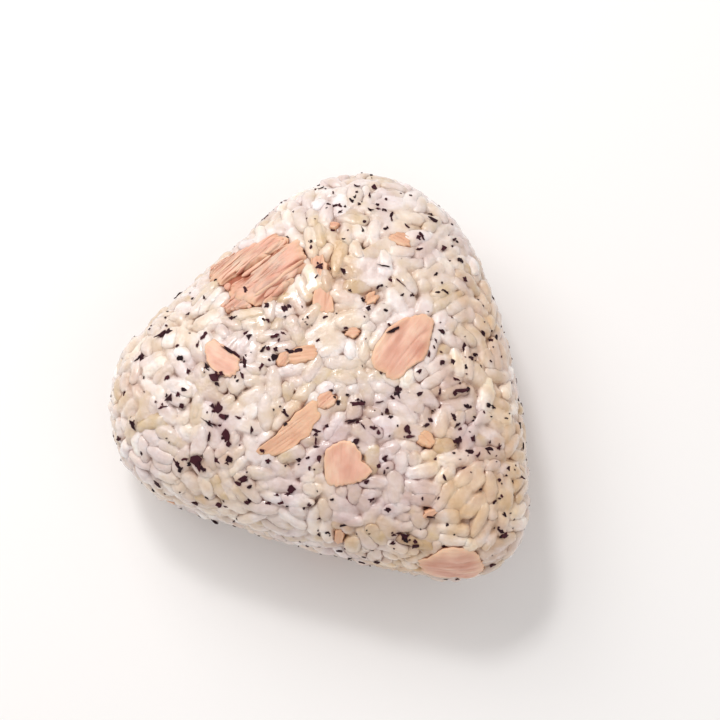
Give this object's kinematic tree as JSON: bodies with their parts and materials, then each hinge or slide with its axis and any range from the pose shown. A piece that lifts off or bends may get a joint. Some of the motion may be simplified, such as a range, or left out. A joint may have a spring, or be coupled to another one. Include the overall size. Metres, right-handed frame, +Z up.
{
  "type": "onigiri rice ball",
  "caption": "Hand-pressed rounded triangular rice ball, mixed with flaked tuna and dried red shiso, lying on its back with a pressed face up.",
  "frame": {"origin": "middle of the flat spot on the back, which the ball rests on", "axes": "+X along the foot side to its sharper end, +Y to the apex, +Z up through the pressed face"},
  "size_m": [0.0816, 0.0721, 0.0391],
  "materials": {
    "rice": "moist cooked short-grain rice, translucent off-white, speckled with dried red shiso that stains it purple",
    "tuna": "flaked cooked tuna, matt and fibrous, pinkish beige"
  },
  "bodies": {
    "root": {"rice_body": "rice", "tuna_chunk": "tuna", "tuna_flake_upper": "tuna", "tuna_flake_lower": "tuna", "tuna_strip": "tuna", "tuna_patch_inner": "tuna", "tuna_patch_left": "tuna", "tuna_foot": "tuna", "tuna_left_side": "tuna", "tuna_right_side": "tuna", "tuna_back_foot": "tuna", "tuna_back_apex": "tuna"}
  },
  "joints": []
}
